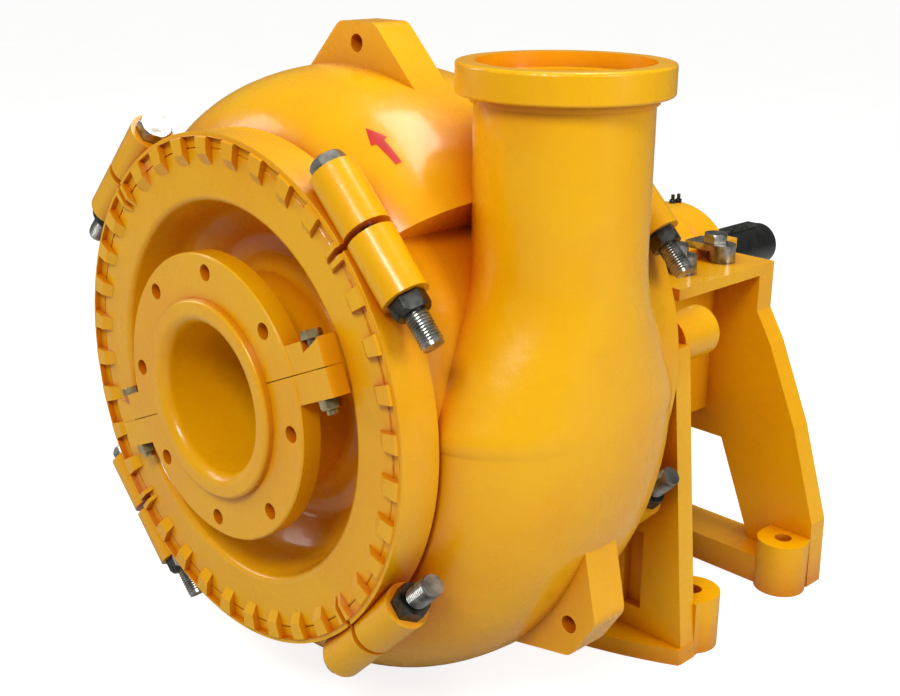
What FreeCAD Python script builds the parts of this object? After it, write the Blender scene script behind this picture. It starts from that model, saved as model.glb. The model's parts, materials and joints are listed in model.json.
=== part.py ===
import FreeCAD, Part
import math
import os
import re

import Sketcher
from FreeCAD import Placement, Rotation, Vector

# Gravel (slurry) pump: one thick volute casing held between two castellated clamp rings,
# a split suction flange, a stuffing box, a bearing cartridge and a cast base frame.
#
# Every piece is drawn in the wet-end frame: the origin is on the shaft axis at the front face
# of the suction-side clamp ring, +Y runs along the shaft to the drive end, +X is the discharge
# side and +Z is up. Placement then moves it to the part's frame, whose origin lies on the
# ground at the centre of the four base bolts.

doc = FreeCAD.newDocument("GravelPump")
sheet = doc.addObject("Spreadsheet::Sheet", "Dims")

DIMENSIONS = {
    # main layout
    "shaft_height": 465,        # ground to shaft axis
    "overhang": 724,            # front clamp face to the centre of the base bolts
    "wet_width": 520,           # over both clamp rings
    "running_gap": 0.3,         # between curved faces of bodies that move apart
    "shaft_fit": 0.05,          # radial clearance of a running fit
    "seat_fit": 0.2,            # radial clearance of a spigot in its seat
    # clamp rings
    "clamp_dia": 688,
    "clamp_width": 58,
    "clamp_wall": 20,
    "clamp_lip": 11,            # thickness of the side lips
    "finger_inner_dia": 604,
    "finger_angle": 4.2,        # each finger, in degrees of the ring
    "finger_count": 36,
    "finger_raise": 4,          # fingers stand proud of the band
    "groove_dia": 618,          # the casing groove that the inner lip grips
    "joint_gap": 9,             # between the ends of two segments
    "boss_dia": 60,
    "boss_length": 84,
    "boss_radius": 363,         # clamp bolt axis to shaft axis
    "clamp_bolt_dia": 27,
    "clamp_bolt_spare": 44,     # thread past the nut
    # casing
    "rim_step": 5,              # door rim behind the clamp's front edge
    "rim_thick": 20,
    "casing_wall": 38,
    "casing_bore": 570,
    "drum_dia": 662,            # casing between the rings, inside the volute
    "volute_start": 395,
    "volute_end": 457,
    "volute_half_width": 198,
    "discharge_offset": 343,
    "discharge_top": 442,
    "neck_height": 205,         # where the volute has become the round discharge pipe
    "neck_overlap": 27,         # neck section starts inside the casing bore
    "tongue_angle": 45,
    "discharge_bore": 152,
    "discharge_pipe": 216,
    "collar_dia": 260,
    "collar_height": 38,
    "collar_recess_dia": 214,
    "collar_recess": 18,
    "lug_rise": 56,             # lifting lug tip above the volute
    "lug_base": 236,
    "lug_tip": 72,
    "lug_thick": 60,
    "lug_hole": 24,
    "top_lug_angle": 90,
    "side_lug_angle": -33,
    # front door and suction
    "recess_dia": 512,
    "recess_depth": 100,
    "chamber_front": 150,       # inner face of the door
    "chamber_width": 220,
    "neck_dia": 300,
    "neck_front": 3,
    "suction_bore": 203,
    "spigot_dia": 268,
    "spigot_out": 37,           # spigot ahead of the clamp's front edge
    "pilot_dia": 236,
    "pilot_depth": 27,
    "flange_dia": 386,
    "flange_thick": 28,
    "flange_out": 26,
    "flange_pcd": 340,
    "flange_holes": 8,
    "flange_hole": 22,
    "ear_reach": 259,           # flange ears, from the shaft axis
    "ear_half": 37,
    "ear_angle": 23.6,
    "ear_bolt_dia": 16,
    "split_gap": 1.2,
    # impeller and shaft
    "impeller_dia": 500,
    "impeller_gap": 7,
    "shroud_thick": 18,
    "vane_count": 5,
    "vane_thick": 26,
    "hub_dia": 150,
    "shaft_dia": 100,
    "shaft_wet_dia": 86,
    "shaft_end_dia": 80,
    "shaft_end": 1245,          # clamp front face to the shaft's drive end
    "lead_in_dia": 79,          # eases the coupling hub on
    "lead_in_length": 28,
    "sleeve_dia": 120,
    "key_width": 22,
    "key_length": 125,
    "key_height": 5.5,          # stands proud of the shaft
    "key_inset": 30,            # from the key to the shaft's end
    "keyway_depth": 9,
    "sleeve_out": 60,           # shaft shoulder behind the stuffing box
    # stuffing box
    "box_dia": 298,
    "box_bore": 152,
    "box_back": 604,
    "packing_length": 18,
    "packing_count": 4,
    "lantern_length": 24,
    "gland_flange": 26,
    "gland_nose": 22,
    "gland_stud_pcd": 214,
    "gland_travel": 14,
    "gland_gap": 12,            # from the stuffing box to the gland's flange
    "stud_dia": 16,
    "stud_depth": 16,
    "stud_nut_height": 13,
    # bearing cartridge
    "housing_dia": 240,
    "housing_front": 702,
    "housing_back": 962,
    "band_rise": 5,
    "ear_thick": 18,            # side ears that the clamp washers hold
    "cover_dia": 238,
    "cover_thick": 18,
    "bearing_dia": 180,
    "bearing_length": 48,
    "roller_dia": 20,
    "roller_count": 14,
    "adjust_travel": 4,
    "adjust_screw_dia": 24,
    "adjust_screw_length": 118,
    "adjust_nut_height": 18,
    "adjust_lug_half": 14,      # half the thickness of the housing's lug
    "adjust_lug_drop": 52,      # lug tip below the barrel
    "saddle_length": 44,
    # base frame
    "portal_thick": 40,
    "portal_back": 918,         # rear face of the rear legs
    "cradle_front": 660,
    "cradle_half": 238,
    "cradle_top": 66,
    "cradle_plate": 18,
    "foot_half": 378,
    "foot_boss_dia": 84,
    "foot_boss_height": 88,
    "base_bolt_x": 684,
    "base_bolt_y": 252,
    "base_hole": 28,
    "base_pad": 26,
    "clamp_stud_x": 166,
    "clamp_stud_dia": 24,
    "clamp_stud_first": 43,     # from the housing's front face
    "clamp_stud_pitch": 106,
    "face_dia": 600,            # machined face that the frame plate seats on
    "face_raise": 6,
    "cradle_out": 152,          # outer faces of the cradle's side walls
    "cradle_wall": 20,
    "cradle_depth": 186,
    "shoulder_x": 288,
    "shoulder_dia": 76,
    "shoulder_length": 96,
}

for row, (alias, number) in enumerate(DIMENSIONS.items(), start=1):
    sheet.set("A%d" % row, alias)
    sheet.set("B%d" % row, str(number))
    sheet.setAlias("B%d" % row, alias)
doc.recompute()

pieces = []


def dim(name):
    """A driving dimension, as a number."""
    return float(sheet.get(name))


def bound(expression):
    """The same expression as a feature outside the sheet writes it."""
    return re.sub(
        r"[A-Za-z_]+",
        lambda word: "Dims." + word.group(0) if word.group(0) in DIMENSIONS else word.group(0),
        expression,
    )


def value(expression):
    """The number that an expression gives."""
    return float(sheet.evalExpression(bound(expression)))


def bind(feature, prop, expression):
    feature.setExpression(prop, bound(expression))


def seat(feature, label):
    """Name a finished piece and move it from the wet-end frame to the part's frame."""
    feature.Label = label
    bind(feature, "Placement.Base.y", "-overhang")
    bind(feature, "Placement.Base.z", "shaft_height")
    pieces.append(feature)
    return feature


def shaped(label, shape):
    """A piece whose form no single PartDesign or Part feature makes."""
    feature = doc.addObject("Part::Feature", label)
    feature.Shape = shape
    return seat(feature, label)


# ---------------------------------------------------------------- sketch helpers

def origin_plane(body, role):
    for item in body.Origin.OriginFeatures:
        if item.Role == role:
            return item
    raise ValueError(role)


def outline(body, name, role, corners):
    """A closed sketch whose corners are bound, in pairs of expressions, to the sheet."""
    sketch = body.newObject("Sketcher::SketchObject", name)
    sketch.AttachmentSupport = [(origin_plane(body, role), "")]
    sketch.MapMode = "FlatFace"
    points = [Vector(value(a), value(b), 0) for a, b in corners]
    count = len(points)
    for index, point in enumerate(points):
        sketch.addGeometry(Part.LineSegment(point, points[(index + 1) % count]), False)
    for index in range(count):
        sketch.addConstraint(Sketcher.Constraint("Coincident", index, 2, (index + 1) % count, 1))
    for index, (across, up) in enumerate(corners):
        for kind, text in (("DistanceX", across), ("DistanceY", up)):
            which = sketch.addConstraint(Sketcher.Constraint(kind, -1, 1, index, 1, value(text)))
            sketch.setExpression("Constraints[%d]" % which, bound(text))
    return sketch


def turned(label, profile):
    """A body turned about the shaft axis from (y, radius) corners."""
    body = doc.addObject("PartDesign::Body", label)
    sketch = outline(body, label + "_profile", "YZ_Plane", profile)
    turn = body.newObject("PartDesign::Revolution", label + "_turn")
    turn.Profile = sketch
    turn.ReferenceAxis = (sketch, ["H_Axis"])
    turn.Angle = 360
    doc.recompute()
    return body


def rounded(body, places, radius):
    """Round a turned body's circular edges, given by their (y, radius) expressions."""
    base = body.Tip
    names = []
    for y_text, r_text in places:
        for index, edge in enumerate(base.Shape.Edges, start=1):
            curve = edge.Curve
            if isinstance(curve, Part.Circle) and abs(curve.Radius - value(r_text)) < 0.01 \
                    and abs(curve.Center.y - value(y_text)) < 0.01:
                names.append("Edge%d" % index)
    fillet = body.newObject("PartDesign::Fillet", body.Name + "_round" + str(len(body.Group)))
    fillet.Base = (base, names)
    fillet.Radius = value(radius)
    bind(fillet, "Radius", radius)
    doc.recompute()
    return body


def drilled(body, name, start, depth, pitch_radius, hole_radius, count):
    """A ring of holes along the shaft direction, from a station towards the drive end."""
    sketch = body.newObject("Sketcher::SketchObject", name + "_sketch")
    sketch.AttachmentSupport = [(origin_plane(body, "XZ_Plane"), "")]
    sketch.MapMode = "FlatFace"
    bind(sketch, "AttachmentOffset.Base.z", "-" + start)
    for index in range(count):
        turn = 360 * (index + 0.5) / count
        centre = direction(turn) * value(pitch_radius)
        sketch.addGeometry(Part.Circle(Vector(centre.x, centre.z, 0), Vector(0, 0, 1),
                                       value(hole_radius)), False)
        for kind, text, place in (("DistanceX", pitch_radius, "cos(%g)" % turn),
                                  ("DistanceY", pitch_radius, "sin(%g)" % turn)):
            which = sketch.addConstraint(Sketcher.Constraint(
                kind, -1, 1, index, 3, centre.x if kind == "DistanceX" else centre.z))
            sketch.setExpression("Constraints[%d]" % which, bound(text) + "*" + place)
        size = sketch.addConstraint(Sketcher.Constraint("Radius", index, value(hole_radius)))
        sketch.setExpression("Constraints[%d]" % size, bound(hole_radius))
    cut = body.newObject("PartDesign::Pocket", name)
    cut.Profile = sketch
    cut.Length = value(depth)
    bind(cut, "Length", depth)
    doc.recompute()
    return body


# ---------------------------------------------------------------- solid helpers

def rod(radius, start, finish):
    """A solid cylinder between two points."""
    along = finish.sub(start)
    return Part.makeCylinder(radius, along.Length, start, along)


def tube(outer, inner, front, back):
    """A ring about the shaft axis between two y stations."""
    outside = rod(outer, Vector(0, front, 0), Vector(0, back, 0))
    return outside.cut(rod(inner, Vector(0, front - 1, 0), Vector(0, back + 1, 0)))


def block(x0, x1, y0, y1, z0, z1):
    return Part.makeBox(x1 - x0, y1 - y0, z1 - z0, Vector(x0, y0, z0))


def slab(points, y0, y1):
    """A polygon in the XZ plane, given as (x, z), pulled along Y."""
    corners = [Vector(x, y0, z) for x, z in points]
    wire = Part.makePolygon(corners + corners[:1])
    return Part.Face(wire).extrude(Vector(0, y1 - y0, 0))


def spun(shape, degrees):
    """A copy turned about the shaft axis, counter-clockwise seen from the suction side."""
    copy = shape.copy()
    copy.rotate(Vector(0, 0, 0), Vector(0, -1, 0), degrees)
    return copy


def mirrored(shape, y_plane=None):
    """A mirror copy, across the wet end's middle plane or, by default, across x = 0."""
    if y_plane is None:
        return shape.mirror(Vector(0, 0, 0), Vector(1, 0, 0))
    return shape.mirror(Vector(0, y_plane, 0), Vector(0, 1, 0))


def hexagon(flats, height, start, along):
    """A nut or bolt head with chamfered corners, from start, along a direction."""
    corner = flats / math.sqrt(3)
    points = [Vector(corner * math.cos(math.radians(60 * k)),
                     corner * math.sin(math.radians(60 * k)), 0) for k in range(6)]
    prism = Part.Face(Part.makePolygon(points + points[:1])).extrude(Vector(0, 0, height))
    bevel = corner * 0.12
    cone = Part.makeCone(corner + 3 * bevel, corner - bevel, height * 1.0)
    prism = prism.common(cone)
    prism.Placement = Placement(start, Rotation(Vector(0, 0, 1), along))
    return prism


def direction(degrees):
    """The unit vector at an angle from +X towards +Z."""
    return Vector(math.cos(math.radians(degrees)), 0, math.sin(math.radians(degrees)))


# ---------------------------------------------------------------- stations along the shaft

RIM_FRONT = "rim_step"
JOINT_FRONT = "(rim_step + rim_thick)"
RIM_RADIUS = "(clamp_dia/2 - clamp_wall - 2*seat_fit)"
PILOT_RADIUS = "(casing_bore/2 - seat_fit)"
CHAMBER_BACK = "(chamber_front + chamber_width)"
LINER_FRONT = "(chamber_front + chamber_width - 13)"


def behind(text):
    """The rear clamp's mirror of a station in the front clamp."""
    return "(wet_width - (" + text + "))"


# ---------------------------------------------------------------- volute casing

BELLY_POWER = 2.3


def volute_radius(degrees):
    """Outer radius of the volute: it opens quickly after the tongue, then levels out."""
    part = (degrees - dim("tongue_angle")) / (360 - dim("tongue_angle"))
    return dim("volute_start") + (dim("volute_end") - dim("volute_start")) * (1 - (1 - part) ** 2)


def rounded_side(centre, across, rise, half_width, power):
    """A rounded arch, as one edge: across is its outward direction."""
    points = []
    for step in range(13):
        turn = math.radians(180 * step / 12)
        wide = math.copysign(abs(math.cos(turn)) ** (2 / power), math.cos(turn)) * half_width
        high = abs(math.sin(turn)) ** (2 / power) * rise
        points.append(centre + across * high + Vector(0, wide, 0))
    curve = Part.BSplineCurve()
    curve.interpolate(points)
    return curve.toShape()


def volute_spiral(wall, root, first):
    """The belly: arch sections on straight roots, from an angle round to the discharge side."""
    middle = dim("wet_width") / 2
    wide = dim("volute_half_width") - wall
    sections = []
    steps = 14
    for step in range(steps + 1):
        angle = first + (360 - first) * step / steps
        outward = direction(angle)
        centre = outward * root + Vector(0, middle, 0)
        side = rounded_side(centre, outward, volute_radius(angle) - wall - root, wide,
                            BELLY_POWER)
        base = Part.LineSegment(centre - Vector(0, wide, 0), centre + Vector(0, wide, 0))
        sections.append(Part.Wire([side, base.toShape()]))
    return Part.makeLoft(sections, True, False)


def discharge_neck(wall, finish):
    """The neck: the belly's wide section eases into the round pipe on its way up."""
    middle = dim("wet_width") / 2
    wide = dim("volute_half_width") - wall
    pipe = dim("discharge_bore") / 2 if wall else dim("discharge_pipe") / 2
    offset = dim("discharge_offset")
    belly_out = dim("volute_end") - wall
    belly_in = dim("casing_bore") / 2 - dim("neck_overlap")
    belly_crest = dim("casing_bore") / 2 + 15
    sections = []
    steps = 10
    for step in range(steps + 1):
        height = finish * step / steps
        share = min(height / dim("neck_height"), 1.0)
        ease = share * share * (3 - 2 * share)
        half = wide + (pipe - wide) * ease
        outer = belly_out + (offset + pipe - belly_out) * ease
        inner = belly_in + (offset - pipe - belly_in) * ease
        crest = belly_crest + (offset - belly_crest) * ease
        power = BELLY_POWER + (2 - BELLY_POWER) * ease
        centre = Vector(crest, middle, height)
        right = rounded_side(centre, Vector(1, 0, 0), outer - crest, half, power)
        left = rounded_side(centre, Vector(-1, 0, 0), crest - inner, half, power)
        sections.append(Part.Wire([right, left]))
    return Part.makeLoft(sections, True, False)


def volute_outside():
    spiral = volute_spiral(0, dim("casing_bore") / 2 + 15, dim("tongue_angle"))
    return spiral.fuse(discharge_neck(0, dim("discharge_top") - 10))


def volute_inside():
    wall = dim("casing_wall")
    spiral = volute_spiral(wall, dim("casing_bore") / 2 - 20, dim("tongue_angle") + 4)
    return spiral.fuse(discharge_neck(wall, dim("discharge_top") + 1))


def lifting_lug(angle):
    """A gusset with one hole, standing on the volute at an angle."""
    seat_radius = volute_radius(angle % 360)
    tip = seat_radius + dim("lug_rise")
    low = seat_radius - 60
    spread = dim("lug_base") / 2 * 1.28
    half_tip = dim("lug_tip") / 2
    middle = dim("wet_width") / 2
    thick = dim("lug_thick")
    plan = [(-spread, low), (spread, low), (half_tip, tip), (-half_tip, tip)]
    gusset = slab(plan, middle - thick / 2, middle + thick / 2)
    corners = [edge for edge in gusset.Edges
               if abs(edge.Vertexes[0].Z - tip) < 0.1 and abs(edge.Vertexes[1].Z - tip) < 0.1
               and abs(edge.Vertexes[0].X - edge.Vertexes[1].X) < 0.1]
    gusset = gusset.makeFillet(half_tip * 0.6, corners)
    hole_up = tip - dim("lug_hole") * 1.15
    hole = rod(dim("lug_hole") / 2, Vector(0, middle - thick, hole_up),
               Vector(0, middle + thick, hole_up))
    return spun(gusset.cut(hole), angle - 90)


def make_casing():
    middle = dim("wet_width") / 2
    bore = dim("casing_bore") / 2
    rim = value(RIM_RADIUS)
    joint = value(JOINT_FRONT)
    lip = dim("clamp_width") - dim("clamp_lip") - dim("seat_fit")
    drum = dim("clamp_width") + dim("seat_fit")
    groove = dim("groove_dia") / 2
    half = [(joint, bore), (joint, rim), (lip, rim), (lip, groove), (drum, groove),
            (drum, dim("drum_dia") / 2)]
    profile = half + [(2 * middle - y, r) for y, r in reversed(half)]
    corners = [Vector(0, y, r) for y, r in profile]
    face = Part.Face(Part.makePolygon(corners + corners[:1]))
    drum_ring = face.revolve(Vector(0, 0, 0), Vector(0, 1, 0), 360)

    offset = dim("discharge_offset")
    top = dim("discharge_top")
    at = Vector(offset, middle, 0)
    up = Vector(0, 0, 1)
    step = rod(dim("discharge_pipe") / 2 + 4, at + up * (top - dim("collar_height") - 9),
               at + up * (top - 10))
    collar = rod(dim("collar_dia") / 2, at + up * (top - dim("collar_height")), at + up * top)
    rim_edges = [edge for edge in collar.Edges if isinstance(edge.Curve, Part.Circle)]
    collar = collar.makeFillet(4, rim_edges)

    casing = volute_outside().fuse([drum_ring, step, collar,
                                   lifting_lug(dim("top_lug_angle")),
                                   lifting_lug(dim("side_lug_angle"))])
    recess = rod(dim("collar_recess_dia") / 2, at + up * (top - dim("collar_recess")),
                 at + up * (top + 1))
    chamber = rod(bore, Vector(0, joint - 1, 0), Vector(0, 2 * middle - joint + 1, 0))
    return casing.cut(volute_inside()).cut([recess, chamber])


shaped("volute_casing", make_casing())

# ---------------------------------------------------------------- front door and frame plate

SEAL_IN = "(casing_bore/2 + 9)"
SEAL_OUT = "(casing_bore/2 + 19)"
NECK_BORE = "(pilot_dia/2 + seat_fit)"
PILOT_END = "(neck_front + pilot_depth)"

front_door = turned("front_door", [
    ("neck_front", NECK_BORE),
    ("neck_front", "neck_dia/2"),
    ("recess_depth - 14", "neck_dia/2"),
    ("rim_step + recess_depth", "neck_dia/2 + 22"),
    ("rim_step + recess_depth", "recess_dia/2 - 62"),
    ("rim_step + recess_depth*0.62", "recess_dia/2 - 16"),
    (RIM_FRONT, "recess_dia/2"),
    (RIM_FRONT, RIM_RADIUS),
    (JOINT_FRONT, RIM_RADIUS),
    (JOINT_FRONT, SEAL_OUT),
    (JOINT_FRONT + " - 6", SEAL_OUT),
    (JOINT_FRONT + " - 6", SEAL_IN),
    (JOINT_FRONT, SEAL_IN),
    (JOINT_FRONT, PILOT_RADIUS),
    ("chamber_front", PILOT_RADIUS),
    ("chamber_front", "suction_bore/2"),
    (PILOT_END, "suction_bore/2"),
    (PILOT_END, NECK_BORE),
])
rounded(front_door, [(RIM_FRONT, "recess_dia/2")], "9")
rounded(front_door, [("rim_step + recess_depth", "recess_dia/2 - 62"),
                     ("rim_step + recess_depth*0.62", "recess_dia/2 - 16")], "26")
rounded(front_door, [("rim_step + recess_depth", "neck_dia/2 + 22"),
                     ("recess_depth - 14", "neck_dia/2")], "12")
rounded(front_door, [("neck_front", "neck_dia/2"), (RIM_FRONT, RIM_RADIUS)], "3")
seat(front_door, "front_door")

FRAME_FACE = "(wet_width + 2)"
BOX_BORE_WALL = "(box_dia/2 + seat_fit)"

frame_plate = turned("frame_plate", [
    (CHAMBER_BACK, BOX_BORE_WALL),
    (CHAMBER_BACK, PILOT_RADIUS),
    (behind(JOINT_FRONT), PILOT_RADIUS),
    (behind(JOINT_FRONT), SEAL_IN),
    (behind(JOINT_FRONT + " - 6"), SEAL_IN),
    (behind(JOINT_FRONT + " - 6"), SEAL_OUT),
    (behind(JOINT_FRONT), SEAL_OUT),
    (behind(JOINT_FRONT), RIM_RADIUS),
    (behind(RIM_FRONT), RIM_RADIUS),
    (behind(RIM_FRONT), "recess_dia/2 - 4"),
    (FRAME_FACE, "recess_dia/2 - 8"),
    (FRAME_FACE, "recess_dia/2 - 28"),
    ("wet_width - 96", "recess_dia/2 - 44"),
    ("wet_width - 96", "box_dia/2 + 30"),
    (FRAME_FACE, "box_dia/2 + 24"),
    (FRAME_FACE, BOX_BORE_WALL),
])
rounded(frame_plate, [(behind(RIM_FRONT), RIM_RADIUS)], "3")
seat(frame_plate, "frame_plate")

seat(turned("back_liner", [
    (LINER_FRONT, "sleeve_dia/2 + 3"),
    (LINER_FRONT, PILOT_RADIUS + " - 2"),
    (CHAMBER_BACK, PILOT_RADIUS + " - 2"),
    (CHAMBER_BACK, "sleeve_dia/2 + 3"),
]), "back_liner")

for label, near, far in (("front_seal_ring", JOINT_FRONT + " - 6", JOINT_FRONT),
                         ("rear_seal_ring", behind(JOINT_FRONT), behind(JOINT_FRONT + " - 6"))):
    seat(turned(label, [
        (near, SEAL_IN + " + seat_fit"),
        (near, SEAL_OUT + " - seat_fit"),
        (far, SEAL_OUT + " - seat_fit"),
        (far, SEAL_IN + " + seat_fit"),
    ]), label)

# ---------------------------------------------------------------- suction ring and flange

joint_ring = turned("suction_joint_ring", [
    ("-spigot_out", "suction_bore/2"),
    ("-spigot_out", "spigot_dia/2"),
    ("neck_front", "spigot_dia/2"),
    ("neck_front", "pilot_dia/2"),
    (PILOT_END, "pilot_dia/2"),
    (PILOT_END, "suction_bore/2"),
])
rounded(joint_ring, [("-spigot_out", "suction_bore/2")], "16")
rounded(joint_ring, [("-spigot_out", "spigot_dia/2")], "5")
seat(joint_ring, "suction_joint_ring")


def make_flange_half(side):
    """Half of the split flange: side is +1 for the upper half and -1 for the lower."""
    front = -dim("flange_out")
    back = front + dim("flange_thick")
    inner = dim("spigot_dia") / 2 + dim("seat_fit")
    ring = tube(dim("flange_dia") / 2, inner, front, back)
    rim = [edge for edge in ring.Edges
           if isinstance(edge.Curve, Part.Circle)
           and abs(edge.Curve.Radius - dim("flange_dia") / 2) < 0.01
           and abs(edge.Curve.Center.y - front) < 0.01]
    ring = ring.makeChamfer(2, rim)
    reach = dim("ear_reach")
    half = dim("ear_half")
    inset = dim("flange_dia") / 2 - 36
    for end in (-1, 1):
        plan = [(end * inset, -half), (end * reach, -half), (end * reach, half),
                (end * inset, half)]
        ring = ring.fuse(slab(plan, front + 2, back))
        relief = [(end * (reach - 34), half - 14), (end * (reach + 1), half - 2),
                  (end * (reach + 1), half + 1), (end * (reach - 34), half + 1)]
        ring = ring.cut(slab(relief, front - 1, front + 12))
    keep = dim("split_gap") / 2
    far = reach + 10
    window = [(-far, side * keep), (far, side * keep), (far, side * far), (-far, side * far)]
    ring = ring.common(slab(window, front - 1, back + 1))
    for end in (-1, 1):
        at = Vector(end * (reach - 26), (front + back) / 2 + 1, 0)
        ring = ring.cut(rod(dim("ear_bolt_dia") / 2 + dim("seat_fit"), at + Vector(0, 0, -far),
                            at + Vector(0, 0, far)))
    ring = spun(ring, dim("ear_angle"))
    spacing = 360 / dim("flange_holes")
    for index in range(int(dim("flange_holes"))):
        at = direction(index * spacing) * (dim("flange_pcd") / 2)
        ring = ring.cut(rod(dim("flange_hole") / 2, at + Vector(0, front - 1, 0),
                            at + Vector(0, back + 1, 0)))
    return ring


shaped("suction_flange_upper", make_flange_half(1))
shaped("suction_flange_lower", make_flange_half(-1))

EAR_BOLTS = []
EAR_NUTS = []
for end in (-1, 1):
    size = dim("ear_bolt_dia")
    half = dim("ear_half")
    ear_y = -dim("flange_out") + dim("flange_thick") / 2 + 1
    at = Vector(end * (dim("ear_reach") - 26), ear_y, 0)
    shank = rod(size / 2, at + Vector(0, 0, -half - size * 1.2), at + Vector(0, 0, half))
    head = hexagon(size * 1.5, size * 0.65, at + Vector(0, 0, half), Vector(0, 0, 1))
    nut = hexagon(size * 1.5, size * 0.8, at + Vector(0, 0, -half), Vector(0, 0, -1))
    nut = nut.cut(rod(size / 2, at + Vector(0, 0, -half - 60), at + Vector(0, 0, half)))
    EAR_BOLTS.append(spun(shank.fuse(head), dim("ear_angle")))
    EAR_NUTS.append(spun(nut, dim("ear_angle")))
shaped("flange_ear_bolts", Part.makeCompound(EAR_BOLTS))
shaped("flange_ear_nuts", Part.makeCompound(EAR_NUTS))

# ---------------------------------------------------------------- clamp rings

def make_clamp_segment(centre_angle):
    """A quarter of the front clamp ring, centred on an angle, with its two bolt bosses."""
    outer = dim("clamp_dia") / 2
    inner = outer - dim("clamp_wall")
    width = dim("clamp_width")
    lip = dim("clamp_lip")
    step = dim("rim_step") - dim("seat_fit")
    fingers = dim("finger_inner_dia") / 2
    groove = dim("groove_dia") / 2 + dim("seat_fit")
    raised = dim("finger_raise")
    profile = [(-raised, fingers + 14), (-raised, outer - 7), (0, outer - 5), (0, outer),
               (width, outer), (width, groove), (width - lip, groove), (width - lip, inner),
               (step, inner), (step, fingers)]
    corners = [Vector(0, y, r) for y, r in profile]
    face = Part.Face(Part.makePolygon(corners + corners[:1]))
    half_gap = math.degrees(math.asin(dim("joint_gap") / 2 / outer))
    sweep = 90 - 2 * half_gap
    ring = face.revolve(Vector(0, 0, 0), Vector(0, -1, 0), sweep)
    ring.rotate(Vector(0, 0, 0), Vector(0, -1, 0), -sweep / 2 - 90 + centre_angle)
    pitch = 360 / dim("finger_count")
    cutters = []
    for index in range(int(dim("finger_count") / 4)):
        at = centre_angle + (index - (dim("finger_count") / 4 - 1) / 2) * pitch
        half_slot = math.radians((pitch - dim("finger_angle")) / 2)
        reach = outer - 6
        wide = reach * math.tan(half_slot)
        plan = [(fingers - 10, -wide), (reach, -wide), (reach, wide), (fingers - 10, wide)]
        cutters.append(spun(slab(plan, -raised - 1, step + 1), at))
        notch = [(groove - 5, -wide * 0.62), (outer - 12, -wide * 0.62),
                 (outer - 12, wide * 0.62), (groove - 5, wide * 0.62)]
        cutters.append(spun(slab(notch, width - lip - 1, width + 1), at))
    ring = ring.cut(cutters)
    boss_y = width / 2
    far = dim("boss_length") + dim("joint_gap") / 2
    near = dim("joint_gap") / 2
    core = rod(inner, Vector(0, -50, 0), Vector(0, width + 50, 0))
    for end in (-1, 1):
        joint = centre_angle + 45 * end
        tangent = direction(joint + 90) * -end
        axis = direction(joint) * dim("boss_radius") + Vector(0, boss_y, 0)
        boss = rod(dim("boss_dia") / 2, axis + tangent * near, axis + tangent * far)
        ring = ring.fuse(boss.cut(core))
        hole = rod(dim("clamp_bolt_dia") / 2 + dim("seat_fit"), axis - tangent * 20,
                   axis + tangent * (far + 20))
        ring = ring.cut(hole)
    return ring


def make_clamp_fastenings():
    """The four bolts and four nuts of the front clamp ring."""
    size = dim("clamp_bolt_dia")
    far = dim("boss_length") + dim("joint_gap") / 2
    bolts = []
    nuts = []
    for joint, nut_side in ((45, -1), (135, 1), (225, 1), (315, 1)):
        tangent = direction(joint + 90) * nut_side
        axis = direction(joint) * dim("boss_radius") + Vector(0, dim("clamp_width") / 2, 0)
        finish = axis + tangent * (far + size * 0.8 + dim("clamp_bolt_spare"))
        shank = rod(size / 2, axis - tangent * far, finish)
        head = hexagon(size * 1.52, size * 0.62, axis - tangent * far, tangent * -1)
        nut = hexagon(size * 1.52, size * 0.8, axis + tangent * far, tangent)
        bolts.append(shank.fuse(head))
        nuts.append(nut.cut(rod(size / 2, axis, finish + tangent * 5)))
    return bolts, nuts


front_bolts, front_nuts = make_clamp_fastenings()
middle_plane = dim("wet_width") / 2
for label, centre in (("right", 0), ("top", 90), ("left", 180), ("bottom", 270)):
    segment = make_clamp_segment(centre)
    shaped("front_clamp_" + label, segment)
    shaped("rear_clamp_" + label, mirrored(segment, middle_plane))
shaped("front_clamp_bolts", Part.makeCompound(front_bolts))
shaped("front_clamp_nuts", Part.makeCompound(front_nuts))
shaped("rear_clamp_bolts", Part.makeCompound([mirrored(s, middle_plane) for s in front_bolts]))
shaped("rear_clamp_nuts", Part.makeCompound([mirrored(s, middle_plane) for s in front_nuts]))

# ---------------------------------------------------------------- impeller and shaft

IMPELLER_FRONT = "(chamber_front + impeller_gap)"
IMPELLER_BACK = "(chamber_front + chamber_width - 13 - impeller_gap)"


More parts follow.
